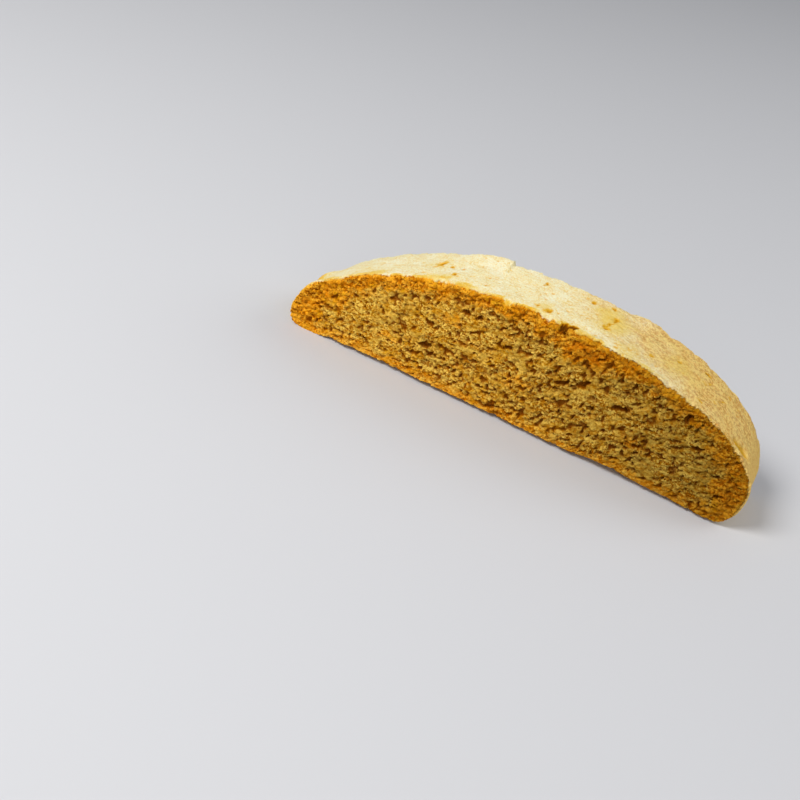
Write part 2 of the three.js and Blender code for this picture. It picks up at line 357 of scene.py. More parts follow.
# Larger holes and tears of the front face.
FRONT_HOLES = table(
    "x z length height depth",
    (-39.6, 4.2, 2.4, 1.2, 1.5),
    (-23.8, 9.6, 3.4, 1.6, 2.0),
    (-20.8, 8.0, 2.6, 1.1, 1.6),
    (-23.5, 16.3, 2.0, 1.3, 1.4),
    (-14.6, 23.4, 2.2, 1.2, 1.4),
    (-12.0, 23.0, 2.6, 1.2, 1.4),
    (-3.5, 19.2, 3.0, 1.1, 1.4),
    (13.2, 16.9, 4.6, 1.1, 1.6),
    (17.6, 18.6, 3.4, 1.6, 1.4),
    (27.6, 16.7, 3.8, 1.6, 1.8),
    (21.0, 13.5, 2.8, 1.3, 1.4),
    (43.0, 22.3, 2.2, 1.5, 1.5),
    (47.7, 15.8, 2.8, 1.6, 1.5),
    (56.1, 6.0, 2.4, 1.4, 1.3),
    (9.0, 29.6, 2.4, 1.2, 1.7),
)
# Torn outlines of the holes: how far they stray, in waves of what size.
HOLE_OUTLINE = {"along": 1.3, "across": 1.1, "push_x": 0.9, "push_z": 0.5}

# Width of the browned crumb under the crust, by place along X, and of that
# above the base, and patches of browned crumb further in.
RIM_WIDTH_AT = ([-62, -54, -44, -25, -5, 14, 30, 48, 58, 62],
                [12, 9, 3.7, 2.5, 2.7, 4.5, 3.8, 3.8, 4.3, 6])
BASE_WIDTH_AT = ([-62, -45, -20, 20, 45, 62], [6, 3.2, 2.4, 2.6, 3.4, 5])
BAKED_PATCHES = table(
    "x z length height share",
    (15.5, 26.8, 15.0, 7.0, 1.9),
    (58.5, 9.0, 9.0, 14.0, 1.4),
    (-18.7, 19.4, 8.0, 4.0, 0.7),
    (1.6, 11.5, 8.0, 4.0, 0.7),
    (-33.0, 7.5, 7.0, 3.0, 0.5),
    (33.0, 9.0, 8.0, 3.5, 0.5),
)
# Browning starts to fade at the first and is gone at the second of these shares
# of the rim's width, of the width above the base and of a patch's half size.
RIM_FADE = (0.3, 1.4)
BASE_FADE = (0.4, 1.2)
PATCH_FADE = (0.4, 1.2)
BROWNED_BASE = 0.65         # how browned the crumb is just above the base
UNEVEN_BROWN = {"along": 3.2, "across": 2.4, "share": 0.5}


def browned(x, z, to_crust, seed):
    """How strongly each point of the crumb is browned, from 0 to 1 and in places more."""
    uneven = UNEVEN_BROWN["share"] * layered_noise(*in_sizes(x, z, UNEVEN_BROWN), 0.0, seed)
    width = np.interp(x, *RIM_WIDTH_AT) * (1 + uneven)
    rim = fade(RIM_FADE[0] * width, RIM_FADE[1] * width, to_crust)
    width = np.interp(x, *BASE_WIDTH_AT) * (1 + uneven)
    rim = np.maximum(rim, BROWNED_BASE * fade(BASE_FADE[0] * width, BASE_FADE[1] * width, z))
    for patch in BAKED_PATCHES:
        outside = np.hypot((x - patch["x"]) / patch["length"], (z - patch["z"]) / patch["height"]) * 2
        rim = np.maximum(rim, patch["share"] * fade(*PATCH_FADE, outside + uneven))
    return rim


def height_along_layers(x, z):
    """Height of each point above the dough layer that passes through the origin."""
    fine = np.linspace(-70, 70, 561)
    slope = np.interp(fine, *LAYER_SLOPE_AT)
    climb = np.concatenate([[0], np.cumsum((slope[1:] + slope[:-1]) / 2 * np.diff(fine))])
    return z - np.interp(x, fine, climb - np.interp(0, fine, climb))


def hole_depth(holes, x, z, seed):
    """How deep the larger holes go at each point, with torn outlines and steep sides."""
    at = in_sizes(x, z, HOLE_OUTLINE)
    torn_x = x + HOLE_OUTLINE["push_x"] * layered_noise(*at, 0.0, seed, 2)
    torn_z = z + HOLE_OUTLINE["push_z"] * layered_noise(*at, 7.0, seed, 2)
    depth = np.zeros(np.shape(x))
    for hole in holes:
        turn = math.atan(float(np.interp(hole["x"], *LAYER_SLOPE_AT)))
        step_x, step_z = torn_x - hole["x"], torn_z - hole["z"]
        along = (step_x * math.cos(turn) + step_z * math.sin(turn)) / (hole["length"] / 2)
        across = (step_z * math.cos(turn) - step_x * math.sin(turn)) / (hole["height"] / 2)
        inside = fade(0.3, 1.3, along ** 2 + across ** 2)
        depth = np.maximum(depth, hole["depth"] * inside)
    return depth


def small_holes(x, z, u, v, crumbly, seed):
    """How deep the pores and pinholes go at each point."""
    openness = smoothstep(-0.7, 0.6, noise(*in_sizes(x, z, OPEN_PATCH), 23.0, seed))
    opens_at = PORE["opens_at"] - PORE["sooner"] * openness
    pore_field = layered_noise(*in_sizes(u, v, PORE), 29.0, seed + 6, 2)
    pore = PORE["depth"] * smoothstep(opens_at, opens_at + PORE["slope"], pore_field)
    pinhole_field = noise(*in_sizes(u, v, PINHOLE), 31.0, seed + 8)
    pinhole = PINHOLE["depth"] * at_least(PINHOLE["least"], crumbly) * smoothstep(0.34, 0.66, pinhole_field)
    return np.maximum(pore, pinhole)


def crumb_relief(holes, x, z, to_crust, seed):
    """Depth of the crumb below its cut plane, how hollow it is, which becomes painted shade, and each
    granule's tone.
    """
    level = height_along_layers(x, z)
    u, v = x, level
    for wave in WAVES:
        at = in_sizes(x, level, wave)
        u = u + wave["push"][0] * noise(*at, wave["third"][0], seed)
        v = v + wave["push"][1] * noise(*at, wave["third"][1], seed)

    crumbly = smoothstep(-0.6, 0.5, noise(*in_sizes(x, z, CRUMBLY_PATCH), 27.0, seed))
    crumbly = at_least(SMOOTH_CRUMB, np.maximum(crumbly, fade(*CRUMBLY_RIM, to_crust)))
    open_share = at_least(DENSE_SHARE, smoothstep(*DENSE_RIM, to_crust))
    wavy_z = z + 0.5 * noise(x / 4, z / 2, 33.0, seed)
    strip = at_least(STRIP_SHARE, smoothstep(*BASE_STRIP, wavy_z))

    nearest, second, tone = cells(*in_sizes(u, v, GRANULE), seed + 1)
    _, _, lump_tone = cells(*in_sizes(u, v, LUMP_TONE), seed + 14)
    gap = fade(0.02, 0.42, second - nearest)
    granule = GRANULE["depth"] * crumbly * (0.6 * gap + 0.4 * smoothstep(0.1, 0.9, nearest))
    clump_field = layered_noise(*in_sizes(u, v, CLUMP), 41.0, seed + 12, 2)
    clump = CLUMP["depth"] * crumbly * smoothstep(-0.5, 0.7, clump_field)
    furrow_field = np.abs(layered_noise(*in_sizes(u, v, FURROW), 3.0, seed + 2, 2))
    furrow = FURROW["depth"] * crumbly * fade(0.0, 0.6, furrow_field)
    swell = SWELL["depth"] * (1 + layered_noise(*in_sizes(x, level, SWELL), 5.0, seed + 4, 2))

    hollow = open_share * small_holes(x, z, u, v, crumbly, seed)
    hollow = np.maximum(hollow, hole_depth(holes, x, z, seed + 9))
    hollow = (hollow + granule) * strip
    tone = 0.5 + crumbly * (0.55 * tone + 0.45 * lump_tone - 0.5)
    # The second value, the holes and half the furrows, is painted as shade in the crumb's colour.
    return hollow + (furrow + clump) * strip + swell, hollow + 0.5 * furrow * strip, tone


# ----- Crust -----

# Craters and two pits in the crust where its skin has burst, by place along and
# across, and cracks, by their ends. The last value is real golden browning at 1,
# and dark at 2, which is painted shade in the deep crack and the two pits.
BURSTS = table(
    "x y length width depth burnt",
    (-28.0, 1.4, 1.7, 3.6, 0.3, 1),
    (-25.0, 0.2, 1.0, 1.6, 0.2, 1),
    (-22.7, -4.2, 1.2, 1.8, 0.2, 1),
    (-13.4, -5.5, 1.2, 1.2, 0.3, 1),
    (0.2, -6.0, 1.4, 1.9, 0.3, 1),
    (3.2, -6.6, 1.8, 2.2, 0.3, 1),
    (-2.0, 5.0, 1.0, 2.2, 0.3, 1),
    (10.6, 5.7, 1.7, 1.5, 0.3, 1),
    (15.7, 7.2, 1.4, 1.2, 0.2, 1),
    (16.6, -2.3, 2.0, 1.4, 0.3, 1),
    (16.7, -0.2, 0.9, 1.6, 0.2, 1),
    (17.8, 2.6, 1.6, 2.2, 0.4, 1),
    (43.3, -6.5, 1.3, 1.2, 0.3, 1),
    (29.0, -3.0, 1.0, 0.9, 0.2, 1),
    (35.0, 1.5, 0.9, 0.8, 0.2, 1),
    (8.8, -9.4, 2.8, 2.2, 1.0, 2),
    (42.3, 5.3, 1.4, 1.1, 0.6, 2),
)
CRACKS = (
    {"from": (8.9, -8.8), "to": (11.4, -7.1), "width": 0.5, "depth": 0.5, "burnt": 2.0},
    {"from": (16.6, -1.8), "to": (17.9, 1.8), "width": 0.4, "depth": 0.15, "burnt": 1.0},
    {"from": (55.4, -6.2), "to": (57.4, -5.3), "width": 1.9, "depth": 0.8, "burnt": 0.75},
)
BURST_RING = 1.7            # how far a burst's golden ring reaches, in its half sizes
# How far the bursts stray from their places, in waves of what size, and how
# ragged their outlines are.
BURST_WANDER = {"along": 0.9, "across": 0.8, "push_x": 0.45, "push_y": 0.40}
BURST_OUTLINE = {"along": 0.8, "across": 0.7, "share": 0.35}
# Pinpricks strewn over patches of the crust.
SPECKLES = {"spacing": 3.6, "size": 0.6, "depth": 0.2, "strength": 0.55, "patch": 6}
# A plate of crust that has lifted at the back edge and ends in a step.
PLATE = {"end_x": -12.1, "fade_x": 22.0, "edge_y": 10.2, "fade_y": 8.0, "lift": 1.2, "step": 0.2}
# Places where the crust bulges, by place along and across.
LUMPS = table(
    "x y radius rise",
    (-58.5, 1.5, 4.5, 1.3),
    (24.5, 10.2, 6.0, 1.0),
    (-57.5, -9.5, 6.0, 0.7),
)
# The crust's skin is torn off along the front edge, baring browned crumb: how
# far, by place along X, and how rough it is. A golden halo lies behind it, by
# place along X too. The back edge is cleaner by a factor.
TORN_REACH_AT = ([-62, -57, -52, -36, -20, 0, 20, 38, 62], [1.2, 2.2, 3.5, 2.5, 2.7, 2.7, 2.4, 1.2, 1.6])
TORN = {"spacing": 1.5, "patch": 9, "least": 0.35, "depth": 0.5}
# The torn crumb's bits: their spacing, the dip of the gaps between them and the strength of the painted
# shade in those gaps.
TORN_GRAIN = {"spacing": 1.05, "depth": 0.5, "hollow": 0.5}
HALO_REACH_AT = ([-62, -40, -10, 20, 62], [4.0, 3.2, 2.8, 2.4, 1.5])
BACK_EDGE_CLEAN = 10.0
# Bites out of the crust's edge: their depth by place along X, width and spacing.
# Those of the back edge are shallower by a factor.
CHIP_DEPTH_AT = ([-62, -54, -46, -20, 20, 40, 62], [0.2, 0.5, 1.3, 1.5, 1.3, 0.8, 0.6])
CHIP = {"width": 1.6, "least": 0.35, "spacing": 2.4}
BACK_CHIPS = 0.25
RIM_DRAG = 3.6              # how far the crust's rim is drawn in with the crumb's relief
CRUST_FULL_Z = 4.0          # the crust has its full relief from this height up
CRUST_SWELL = {"along": 10, "across": 9, "depth": 0.3}
# Lengthwise wrinkles that lean, and between which X they set in.
WRINKLE = {"along": 3.0, "across": 1.1, "lean": 6, "depth": 0.06}
WRINKLED_X = (10.0, 35.0)
# Golden patches of crust: place along and across, radius and strength.
GOLDEN_PATCHES = table(
    "x y radius share",
    (17.0, 2.0, 8.0, 0.50),
    (-28.0, 0.0, 4.0, 0.25),
    (2.0, -6.5, 4.0, 0.35),
    (-45.0, -8.0, 8.0, 0.25),
    (24.0, -9.0, 7.0, 0.35),
    (36.0, 0.0, 8.0, 0.30),
    (-6.3, -9.9, 2.6, 0.90),
)
# How golden the halo is, by place along X. The left nose is golden below these
# heights and left of these X, and the crust above the base up to these heights.
HALO_GOLDEN_AT = ([-62, -48, -36, 0, 20, 40, 62], [0.9, 0.6, 0.85, 0.9, 0.7, 0.3, 0.15])
NOSE_GOLDEN_Z = (9.0, 15.0)
NOSE_GOLDEN_X = (-61.0, -54.0)
BASE_GOLDEN_Z = (0.3, 2.5)
BASE_GOLDEN = 0.5
UNEVEN_GOLDEN = {"along": 4, "across": 4, "wander": 1.3}


def bursts(x, y):
    """How deep each burst, crack and the pinpricks go at each point, and how browned they are, up to the
    painted shade of the dark ones.
    """
    at = in_sizes(x, y, BURST_WANDER)
    wander_x = x + BURST_WANDER["push_x"] * layered_noise(*at, 0.0, SEED + 21, 2)
    wander_y = y + BURST_WANDER["push_y"] * layered_noise(*at, 5.0, SEED + 23, 2)
    ragged = BURST_OUTLINE["share"] * layered_noise(*in_sizes(x, y, BURST_OUTLINE), 7.0, SEED + 29, 2)
    for burst in BURSTS:
        outside = np.hypot((wander_x - burst["x"]) / burst["length"],
                           (wander_y - burst["y"]) / burst["width"]) * 2 + ragged
        yield burst["depth"] * fade(0.4, 1.1, outside), burst["burnt"] * fade(0.3, BURST_RING, outside)
    for crack in CRACKS:
        run = np.subtract(crack["to"], crack["from"])
        step_x, step_y = wander_x - crack["from"][0], wander_y - crack["from"][1]
        share = np.clip((step_x * run[0] + step_y * run[1]) / (run @ run), 0, 1)
        away = np.hypot(step_x - share * run[0], step_y - share * run[1])
        inside = fade(0.3, 1.1, away / crack["width"])
        yield crack["depth"] * inside, crack["burnt"] * inside
    spacing = SPECKLES["spacing"]
    nearest, _, _ = cells(wander_x / spacing, wander_y / spacing, SEED + 25)
    size = SPECKLES["size"] / spacing
    strewn = noise(x / SPECKLES["patch"], y / SPECKLES["patch"], 9.0, SEED + 27) > 0
    inside = fade(0.5 * size, size, nearest) * strewn
    yield SPECKLES["depth"] * inside, SPECKLES["strength"] * inside


def crust_relief(x, y, travelled):
    """Height of the crust above the smooth arch, and how far its skin is broken."""
    rise = CRUST_SWELL["depth"] * layered_noise(*in_sizes(travelled, y, CRUST_SWELL), 0.0, SEED + 11)
    along, across = in_sizes(travelled, y, WRINKLE)
    wrinkle = layered_noise(along, across + travelled / WRINKLE["lean"], 3.0, SEED + 15, 2)
    rise += WRINKLE["depth"] * wrinkle * smoothstep(*WRINKLED_X, x)
    for lump in LUMPS:
        away = np.hypot(x - lump["x"], y - lump["y"])
        rise += lump["rise"] * fade(0, 1, away / lump["radius"])
    broken = np.zeros(np.shape(x))
    for depth, burnt in bursts(x, y):
        rise -= depth
        broken = np.maximum(broken, burnt)
    plate = fade(PLATE["end_x"], PLATE["end_x"] + PLATE["step"], x)
    plate *= smoothstep(PLATE["end_x"] - PLATE["fade_x"], PLATE["end_x"], x)
    plate *= smoothstep(PLATE["edge_y"] - PLATE["fade_y"], PLATE["edge_y"], y)
    return rise + PLATE["lift"] * plate, broken


def torn_fringe(x, y, travelled, from_cut):
    """Where the crust's skin is torn off along a cut, how deep, its gaps, which are painted as shade, halo
    and tone.
    """
    ragged = layered_noise(travelled / TORN["spacing"], y / TORN["spacing"], 0.0, SEED + 71)
    patchy = noise(travelled / TORN["patch"], 0.0, 3.0, SEED + 75)
    reach = at_least(TORN["least"], smoothstep(-1.0, 1.2, ragged + 0.6 * patchy))
    reach = np.interp(x, *TORN_REACH_AT) * reach
    torn = fade(0.45 * reach, reach + 0.1, from_cut)
    grain = TORN_GRAIN["spacing"]
    nearest, second, tone = cells(travelled / grain, y / grain, SEED + 77)
    gap = torn * fade(0.02, 0.45, second - nearest)
    halo = fade(reach, reach + np.interp(x, *HALO_REACH_AT) * (1 + 0.8 * patchy), from_cut)
    halo *= smoothstep(-0.9, 0.5, noise(travelled / 3, y / 3, 5.0, SEED + 79))
    return torn, TORN["depth"] * torn + TORN_GRAIN["depth"] * gap, gap, halo, tone


def edge_chips(x, travelled, from_edge, seed):
    """How far the crust's edge has crumbled away along a cut face."""
    bite = layered_noise(travelled / CHIP["spacing"], 0.0, 0.0, seed, 2)
    bite = smoothstep(-0.3, 1.0, bite)
    width = CHIP["width"] * (CHIP["least"] + bite)
    return np.interp(x, *CHIP_DEPTH_AT) * bite * fade(0.0, 1.0, from_edge / width)


def golden_crust(x, y, z, travelled):
    """How golden the crust has baked, from 0 to 1."""
    at = in_sizes(travelled, y, UNEVEN_GOLDEN)
    uneven = UNEVEN_GOLDEN["wander"] * layered_noise(*at, 0.0, SEED + 81)
    nose = fade(*NOSE_GOLDEN_Z, z + uneven) * fade(*NOSE_GOLDEN_X, x + uneven)
    golden = np.maximum(nose, BASE_GOLDEN * fade(*BASE_GOLDEN_Z, z + 0.6 * uneven))
    for patch in GOLDEN_PATCHES:
        outside = (np.hypot(x - patch["x"], y - patch["y"]) + uneven) / patch["radius"]
        golden = np.maximum(golden, patch["share"] * fade(0.2, 1.0, outside))
    return golden


# ----- The slice's mesh -----

def depth_under_crust(patch, line):
    """Distance of each point of a cut face from the crust's line around it."""
    gaps = [np.hypot(column[:, 0, None] - line[::2, 0], column[:, 1, None] - line[::2, 1]).min(axis=1)
            for column in patch]
    return np.array(gaps)


def raised_crust(lines, layer_y):
    """Points of the crust, line by line and layer by layer, and what is on them."""
    away, travelled = outward(lines[0])
    through = (layer_y / THICKNESS + 0.5)[:, None]
    smooth = lines[0][:, None] * (1 - through) + lines[1][:, None] * through
    x, z = smooth[:, :, 0], smooth[:, :, 1]
    y = np.broadcast_to(layer_y, x.shape)
    travelled = np.broadcast_to(travelled[:, None], x.shape)
    from_front, from_back = y + THICKNESS / 2, THICKNESS / 2 - y

    rise, broken = crust_relief(x, y, travelled)
    chips = np.maximum(edge_chips(x, travelled, from_front, SEED + 31),
                       edge_chips(x, travelled, from_back, SEED + 41) * BACK_CHIPS)
    from_cut = np.minimum(from_front, from_back * BACK_EDGE_CLEAN)
    torn, torn_depth, gap, halo, tone = torn_fringe(x, y, travelled, from_cut)
    offset = (rise - chips - torn_depth) * smoothstep(0, CRUST_FULL_Z, z)
    raised = smooth + away[:, None] * offset[:, :, None]
    marks = {
        "around": travelled * MM,
        "crust": 1 - torn,
        "torn": torn,
        "broken": broken,
        "golden": np.maximum(golden_crust(x, y, z, travelled), np.interp(x, *HALO_GOLDEN_AT) * halo),
        # Painted shade in the gaps between the torn crumb's bits.
        "hollow": TORN_GRAIN["hollow"] * gap,
        "browned": np.ones(x.shape),
        "tone": tone,
    }
    return raised, travelled, marks


def cut_face(base, line, holes, seed):
    """A cut face's points, how far the crumb lies inside each, and what is on them."""
    patch = arch_patch(edges_along(line, base))
    x, z = patch[:, :, 0], patch[:, :, 1]
    under = depth_under_crust(patch, line)
    depth, shade, tone = crumb_relief(holes, x, z, under, seed)
    rim = at_least(RIM_RELIEF, smoothstep(0.0, RIM_RELIEF_WIDTH, np.minimum(under, z)))
    # The hollow mark paints shade into the holes and furrows and a highlight onto the raised crumb.
    marks = {"hollow": shade * rim, "browned": browned(x, z, under, seed), "tone": tone}
    return patch, depth * rim, marks


def let_down(x, y, z):
    """Heights over the flat underside, for points of the arches that stand level."""
    edge = np.interp(x, *LOWER_EDGE_AT) * fade(0, LOWER_EDGE_DEPTH, y + THICKNESS / 2)
    return z + LIFT + (edge - LIFT) * fade(0, LET_DOWN_BELOW, z)


def slice_points():
    """Every point of the slice, its faces, what its material needs and its bake map."""
    layer_y = layer_places()
    places, faces, side_of = shell_grid(len(layer_y))
    column, layer, row = places.T
    at, y = loop_place(column, row), layer_y[layer]
    edges = [arch_edges(FRONT_ARCH), arch_edges(BACK_ARCH)]
    raised, travelled, crust_marks = raised_crust([crust_line(arch) for arch in edges], layer_y)

    # Points of the crust come from its relief, those of the cut faces from
    # patches that end at the crust's uneven line.
    on_crust = (row == ROWS) | (column == 0) | (column == COLUMNS)
    points = np.zeros((len(places), 3))
    points[:, [0, 2]] = raised[at, layer]
    points[:, 1] = y
    marks = {name: values[at, layer] * on_crust for name, values in crust_marks.items()}
    for end, inward, seed, holes in ((0, 1, SEED + 51, FRONT_HOLES), (-1, -1, SEED + 61, ())):
        patch, depth, face_marks = cut_face(edges[end]["base"], raised[:, end], holes, seed)
        gap = np.abs(y - layer_y[end])
        on_face = gap == 0
        points[on_face, ::2] = patch[column, row][on_face]
        dragged = (1 - np.clip(gap / RIM_DRAG, 0, 1)) ** 2
        points[:, 1] += inward * depth[column, row] * dragged
        for name, values in face_marks.items():
            marks[name][on_face] = values[column, row][on_face]

    # Points inside the underside lie between its front and its back edge.
    front_x, back_x = edges[0]["base"][column, 0], edges[1]["base"][column, 0]
    through = y / THICKNESS + 0.5
    inside = (row == 0) & ~on_crust & (layer > 0) & (layer < len(layer_y) - 1)
    points[inside, 0] = (front_x * (1 - through) + back_x * through)[inside]
    points[row == 0, 2] = 0.0
    points[:, 2] = let_down(points[:, 0], y, points[:, 2])

    over_crust = np.stack([travelled[at, layer], y], axis=1)
    spread = {
        "front": points[:, [0, 2]],
        "back": points[:, [0, 2]],
        "crust left": over_crust,
        "crust right": over_crust,
        "base": points[:, [0, 1]],
    }
    return points, faces, side_of, marks, bake_places(faces, side_of, spread)


def bake_places(faces, side_of, spread):
    """Where each corner of each face lies in the bake's square, one chart a side."""
    corner = np.concatenate([np.array(face) for face in faces])
    side_of_corner = np.repeat(side_of, [len(face) for face in faces])
    places = np.zeros((len(corner), 2))
    low = CHART_GAP
    for name, scale in CHART_SCALES.items():
        here = side_of_corner == name
        flat = spread[name][corner[here]]
        flat = (flat - flat.min(axis=0)) * scale
        places[here] = flat + (CHART_GAP, low)
        low += flat[:, 1].max() + CHART_GAP
    return places / BAKE_SIDE


def centred_on_frame(points):
    """Moves the points so that their box stands where the CAD model's does."""
    low, high = np.array(CAD_BOX[0]) / MM, np.array(CAD_BOX[1]) / MM
    middle = (points.min(axis=0) + points.max(axis=0)) / 2
    shift = (low + high) / 2 - middle
    shift[2] = low[2] - points[:, 2].min()
    return points + shift


def in_scene(name, data):
    """A new object in the scene."""
    item = bpy.data.objects.new(name, data)
    bpy.context.scene.collection.objects.link(item)
    return item


def build_slice():
    points, faces, side_of, marks, bake = slice_points()
    points = centred_on_frame(points) * MM
    mesh = bpy.data.meshes.new("biscotto_crumb_and_crust")
    mesh.from_pydata(points.tolist(), [], faces)
    mesh.shade_smooth()
    is_base = side_of == "base"
    mesh.polygons.foreach_set("use_smooth", ~is_base)
    mesh.set_sharp_from_angle(angle=SHARP_ANGLE)
    under = mesh.attributes.new("under", "FLOAT", "FACE")
    under.data.foreach_set("value", is_base.astype(np.float32))
    for name, values in marks.items():
        attribute = mesh.attributes.new(name, "FLOAT", "POINT")
        attribute.data.foreach_set("value", values.astype(np.float32))
    chart = mesh.uv_layers.new(name="OFBake")
    chart.uv.foreach_set("vector", bake.astype(np.float32).ravel())
    return in_scene("biscotto_slice", mesh)


# ----- Materials -----

class Graph:
    """Adds shader nodes with short calls; a value is a number, colour or socket."""

    def __init__(self, name):
        self.material = bpy.data.materials.new(name)
        self.material.use_nodes = True
        self.tree = self.material.node_tree
        self.tree.nodes.clear()
        self.place = self.add("ShaderNodeTexCoord").outputs["Object"]

    def add(self, kind, inputs=None, **settings):
        """A node with the given settings and values at its named or numbered inputs."""
        node = self.tree.nodes.new(kind)
        for name, value in settings.items():
            setattr(node, name, value)
        for key, value in (inputs or {}).items():
            if isinstance(value, bpy.types.NodeSocket):
                self.tree.links.new(value, node.inputs[key])
            else:
                node.inputs[key].default_value = value
        return node

    def surface(self, inputs):
        """The finished material, with the given values at its shader's inputs."""
        shader = self.add("ShaderNodeBsdfPrincipled", inputs)
        self.add("ShaderNodeOutputMaterial", {"Surface": shader.outputs[0]})
        return self.material

    def mark(self, name):
        return self.add("ShaderNodeAttribute", attribute_name=name).outputs["Fac"]

    def split(self):
        return self.add("ShaderNodeSeparateXYZ", {0: self.place}).outputs

    def math(self, operation, a, b=0.0, c=0.0):
        return self.add("ShaderNodeMath", {0: a, 1: b, 2: c}, operation=operation).outputs[0]

    def times(self, a, b):
        return self.math("MULTIPLY", a, b)

    def ramp(self, value, low, high, to_low=0.0, to_high=1.0):
        """Runs smoothly from to_low to to_high as the value runs from low to high."""
        inputs = {"Value": value, "From Min": low, "From Max": high, "To Min": to_low, "To Max": to_high}
        node = self.add("ShaderNodeMapRange", inputs, interpolation_type="SMOOTHSTEP")
        return node.outputs["Result"]

    def mix(self, share, a, b):
        return self.add("ShaderNodeMix", {0: share, 6: a, 7: b}, data_type="RGBA").outputs[2]

    def coated(self, color, coats):
        """The colour under coats. A coat is a value, the low where it sets in and the high
        where it has its strength, that strength and its colour."""
        for value, low, high, strength, coat in coats:
            color = self.mix(self.ramp(value, low, high, 0.0, strength), color, coat)
        return color

    def stretched(self, stretch, turn):
        """The places, scaled along the axes and turned about Y."""
        inputs = {"Vector": self.place, "Scale": stretch, "Rotation": (0.0, turn, 0.0)}
        return self.add("ShaderNodeMapping", inputs).outputs["Vector"]

    def texture(self, kind, where, size_mm, inputs=None, **settings):
        """A texture node whose lumps or cells have the given size."""
        inputs = {"Vector": where, "Scale": 1 / (size_mm * MM), **(inputs or {})}
        return self.add("ShaderNodeTex" + kind, inputs, **settings)

    def noise(self, size_mm, detail=2.0, roughness=0.5, where=None, distortion=0.0):
        inputs = {"Detail": detail, "Roughness": roughness, "Distortion": distortion}
        return self.texture("Noise", where or self.place, size_mm, inputs).outputs["Fac"]

    def fray(self, size_mm, detail, reach):
        """Noise that strays from 0 to both sides, to make a border ragged."""
        centred = self.math("SUBTRACT", self.noise(size_mm, detail, 0.7), 0.5)
        return self.times(centred, reach)

    def warped(self, where, size_mm, reach_mm):
        """The given places, pushed about by noise so that cells come out ragged."""
        noise = self.texture("Noise", where, size_mm, {"Detail": 4.0, "Roughness": 0.65})
        inputs = {0: noise.outputs["Color"], 1: (2 * reach_mm * MM,) * 3, 2: where}
        return self.add("ShaderNodeVectorMath", inputs, operation="MULTIPLY_ADD").outputs[0]

    def bits(self, size_mm, where):
        """Crumbly bits: distance from each bit's middle in bit sizes, and its tone."""
        node = self.texture("Voronoi", where, size_mm)
        tone = self.add("ShaderNodeSeparateColor", {0: node.outputs["Color"]})
        return node.outputs["Distance"], tone.outputs[0]

    def seams(self, size_mm, where):
        """Distance from the seams between such bits, in bit sizes."""
        return self.texture("Voronoi", where, size_mm, feature="DISTANCE_TO_EDGE").outputs["Distance"]


def rgb(red, green, blue):
    return (red, green, blue, 1.0)


# Colours of the crumb, of its browned rim and of the crust.
CRUMB_MAIN = rgb(0.62, 0.285, 0.006)
CRUMB_GREY = rgb(0.50, 0.265, 0.022)
CRUMB_ORANGE = rgb(0.67, 0.250, 0.002)
CRUMB_PALE = rgb(0.92, 0.61, 0.105)
# CRUMB_DARK and RIM_DARK colour the dark specks, and are also the painted shade in the crumb's holes, seams
# and pits.
CRUMB_DARK = rgb(0.22, 0.05, 0.0)
CRUMB_BROWN = rgb(0.46, 0.18, 0.003)
RIM = rgb(0.92, 0.32, 0.001)
RIM_GOLD = rgb(0.88, 0.45, 0.008)
RIM_BROWN = rgb(0.58, 0.165, 0.0)
RIM_DEEP = rgb(0.74, 0.19, 0.0)
RIM_PALE = rgb(0.96, 0.46, 0.03)
RIM_DARK = rgb(0.30, 0.08, 0.0)
BASE_EDGE = rgb(0.50, 0.17, 0.002)
CRUST_CREAM = rgb(0.94, 0.83, 0.47)
CRUST_FLOUR = rgb(0.98, 0.94, 0.69)
CRUST_YELLOW = rgb(0.88, 0.64, 0.18)
CRUST_LEMON = rgb(0.91, 0.66, 0.11)
CRUST_GOLD = rgb(0.88, 0.49, 0.025)
CRUST_TAN = rgb(0.85, 0.51, 0.14)
CRUST_DUSKY = rgb(0.70, 0.43, 0.17)
CRUST_SAND = rgb(1.0, 0.75, 0.26)
CRUST_BROWN = rgb(0.54, 0.26, 0.045)
CRUST_PEACH = rgb(0.78, 0.37, 0.085)
# Painted light: a brighter, warmer colour for the right nose, which the lamps leave in shade.
CRUST_NOSE_PAINTED_LIGHT = rgb(1.0, 0.65, 0.18)
CRUST_BURST = rgb(0.84, 0.47, 0.03)
SCAR = rgb(0.54, 0.19, 0.002)
# CRACK is painted shade for the deep crack and the two pits.
CRACK = rgb(0.20, 0.06, 0.002)
UNDERSIDE = rgb(0.42, 0.19, 0.035)
# How the grain of the crumb, its shards and the crust's wrinkles is stretched
# and turned.
BREAD_GRAIN = {"stretch": (1.0, 1.0, 1.4), "turn": math.radians(-14)}
SHARD_GRAIN = {"stretch": (0.75, 1.0, 1.45), "turn": math.radians(-14)}
WRINKLE_GRAIN = {"along": 0.34, "across": 1.15, "climb": 0.25}
# Painted shade: the crumb darkens to the right, between which places and by what factors.
CRUMB_PAINTED_SHADE = (-0.02, 0.06, 1.05, 0.56)


def creases(graph):
    """Fine wrinkles that run along the crust, slightly aslant."""
    around = graph.mark("around")
    across = graph.times(graph.split()[1], WRINKLE_GRAIN["across"])
    across = graph.math("MULTIPLY_ADD", around, WRINKLE_GRAIN["climb"], across)
    along = graph.times(around, WRINKLE_GRAIN["along"])
    where = graph.add("ShaderNodeCombineXYZ", {"X": along, "Y": across}).outputs[0]
    return graph.noise(1.3, 5.0, 0.68, where, 0.9)


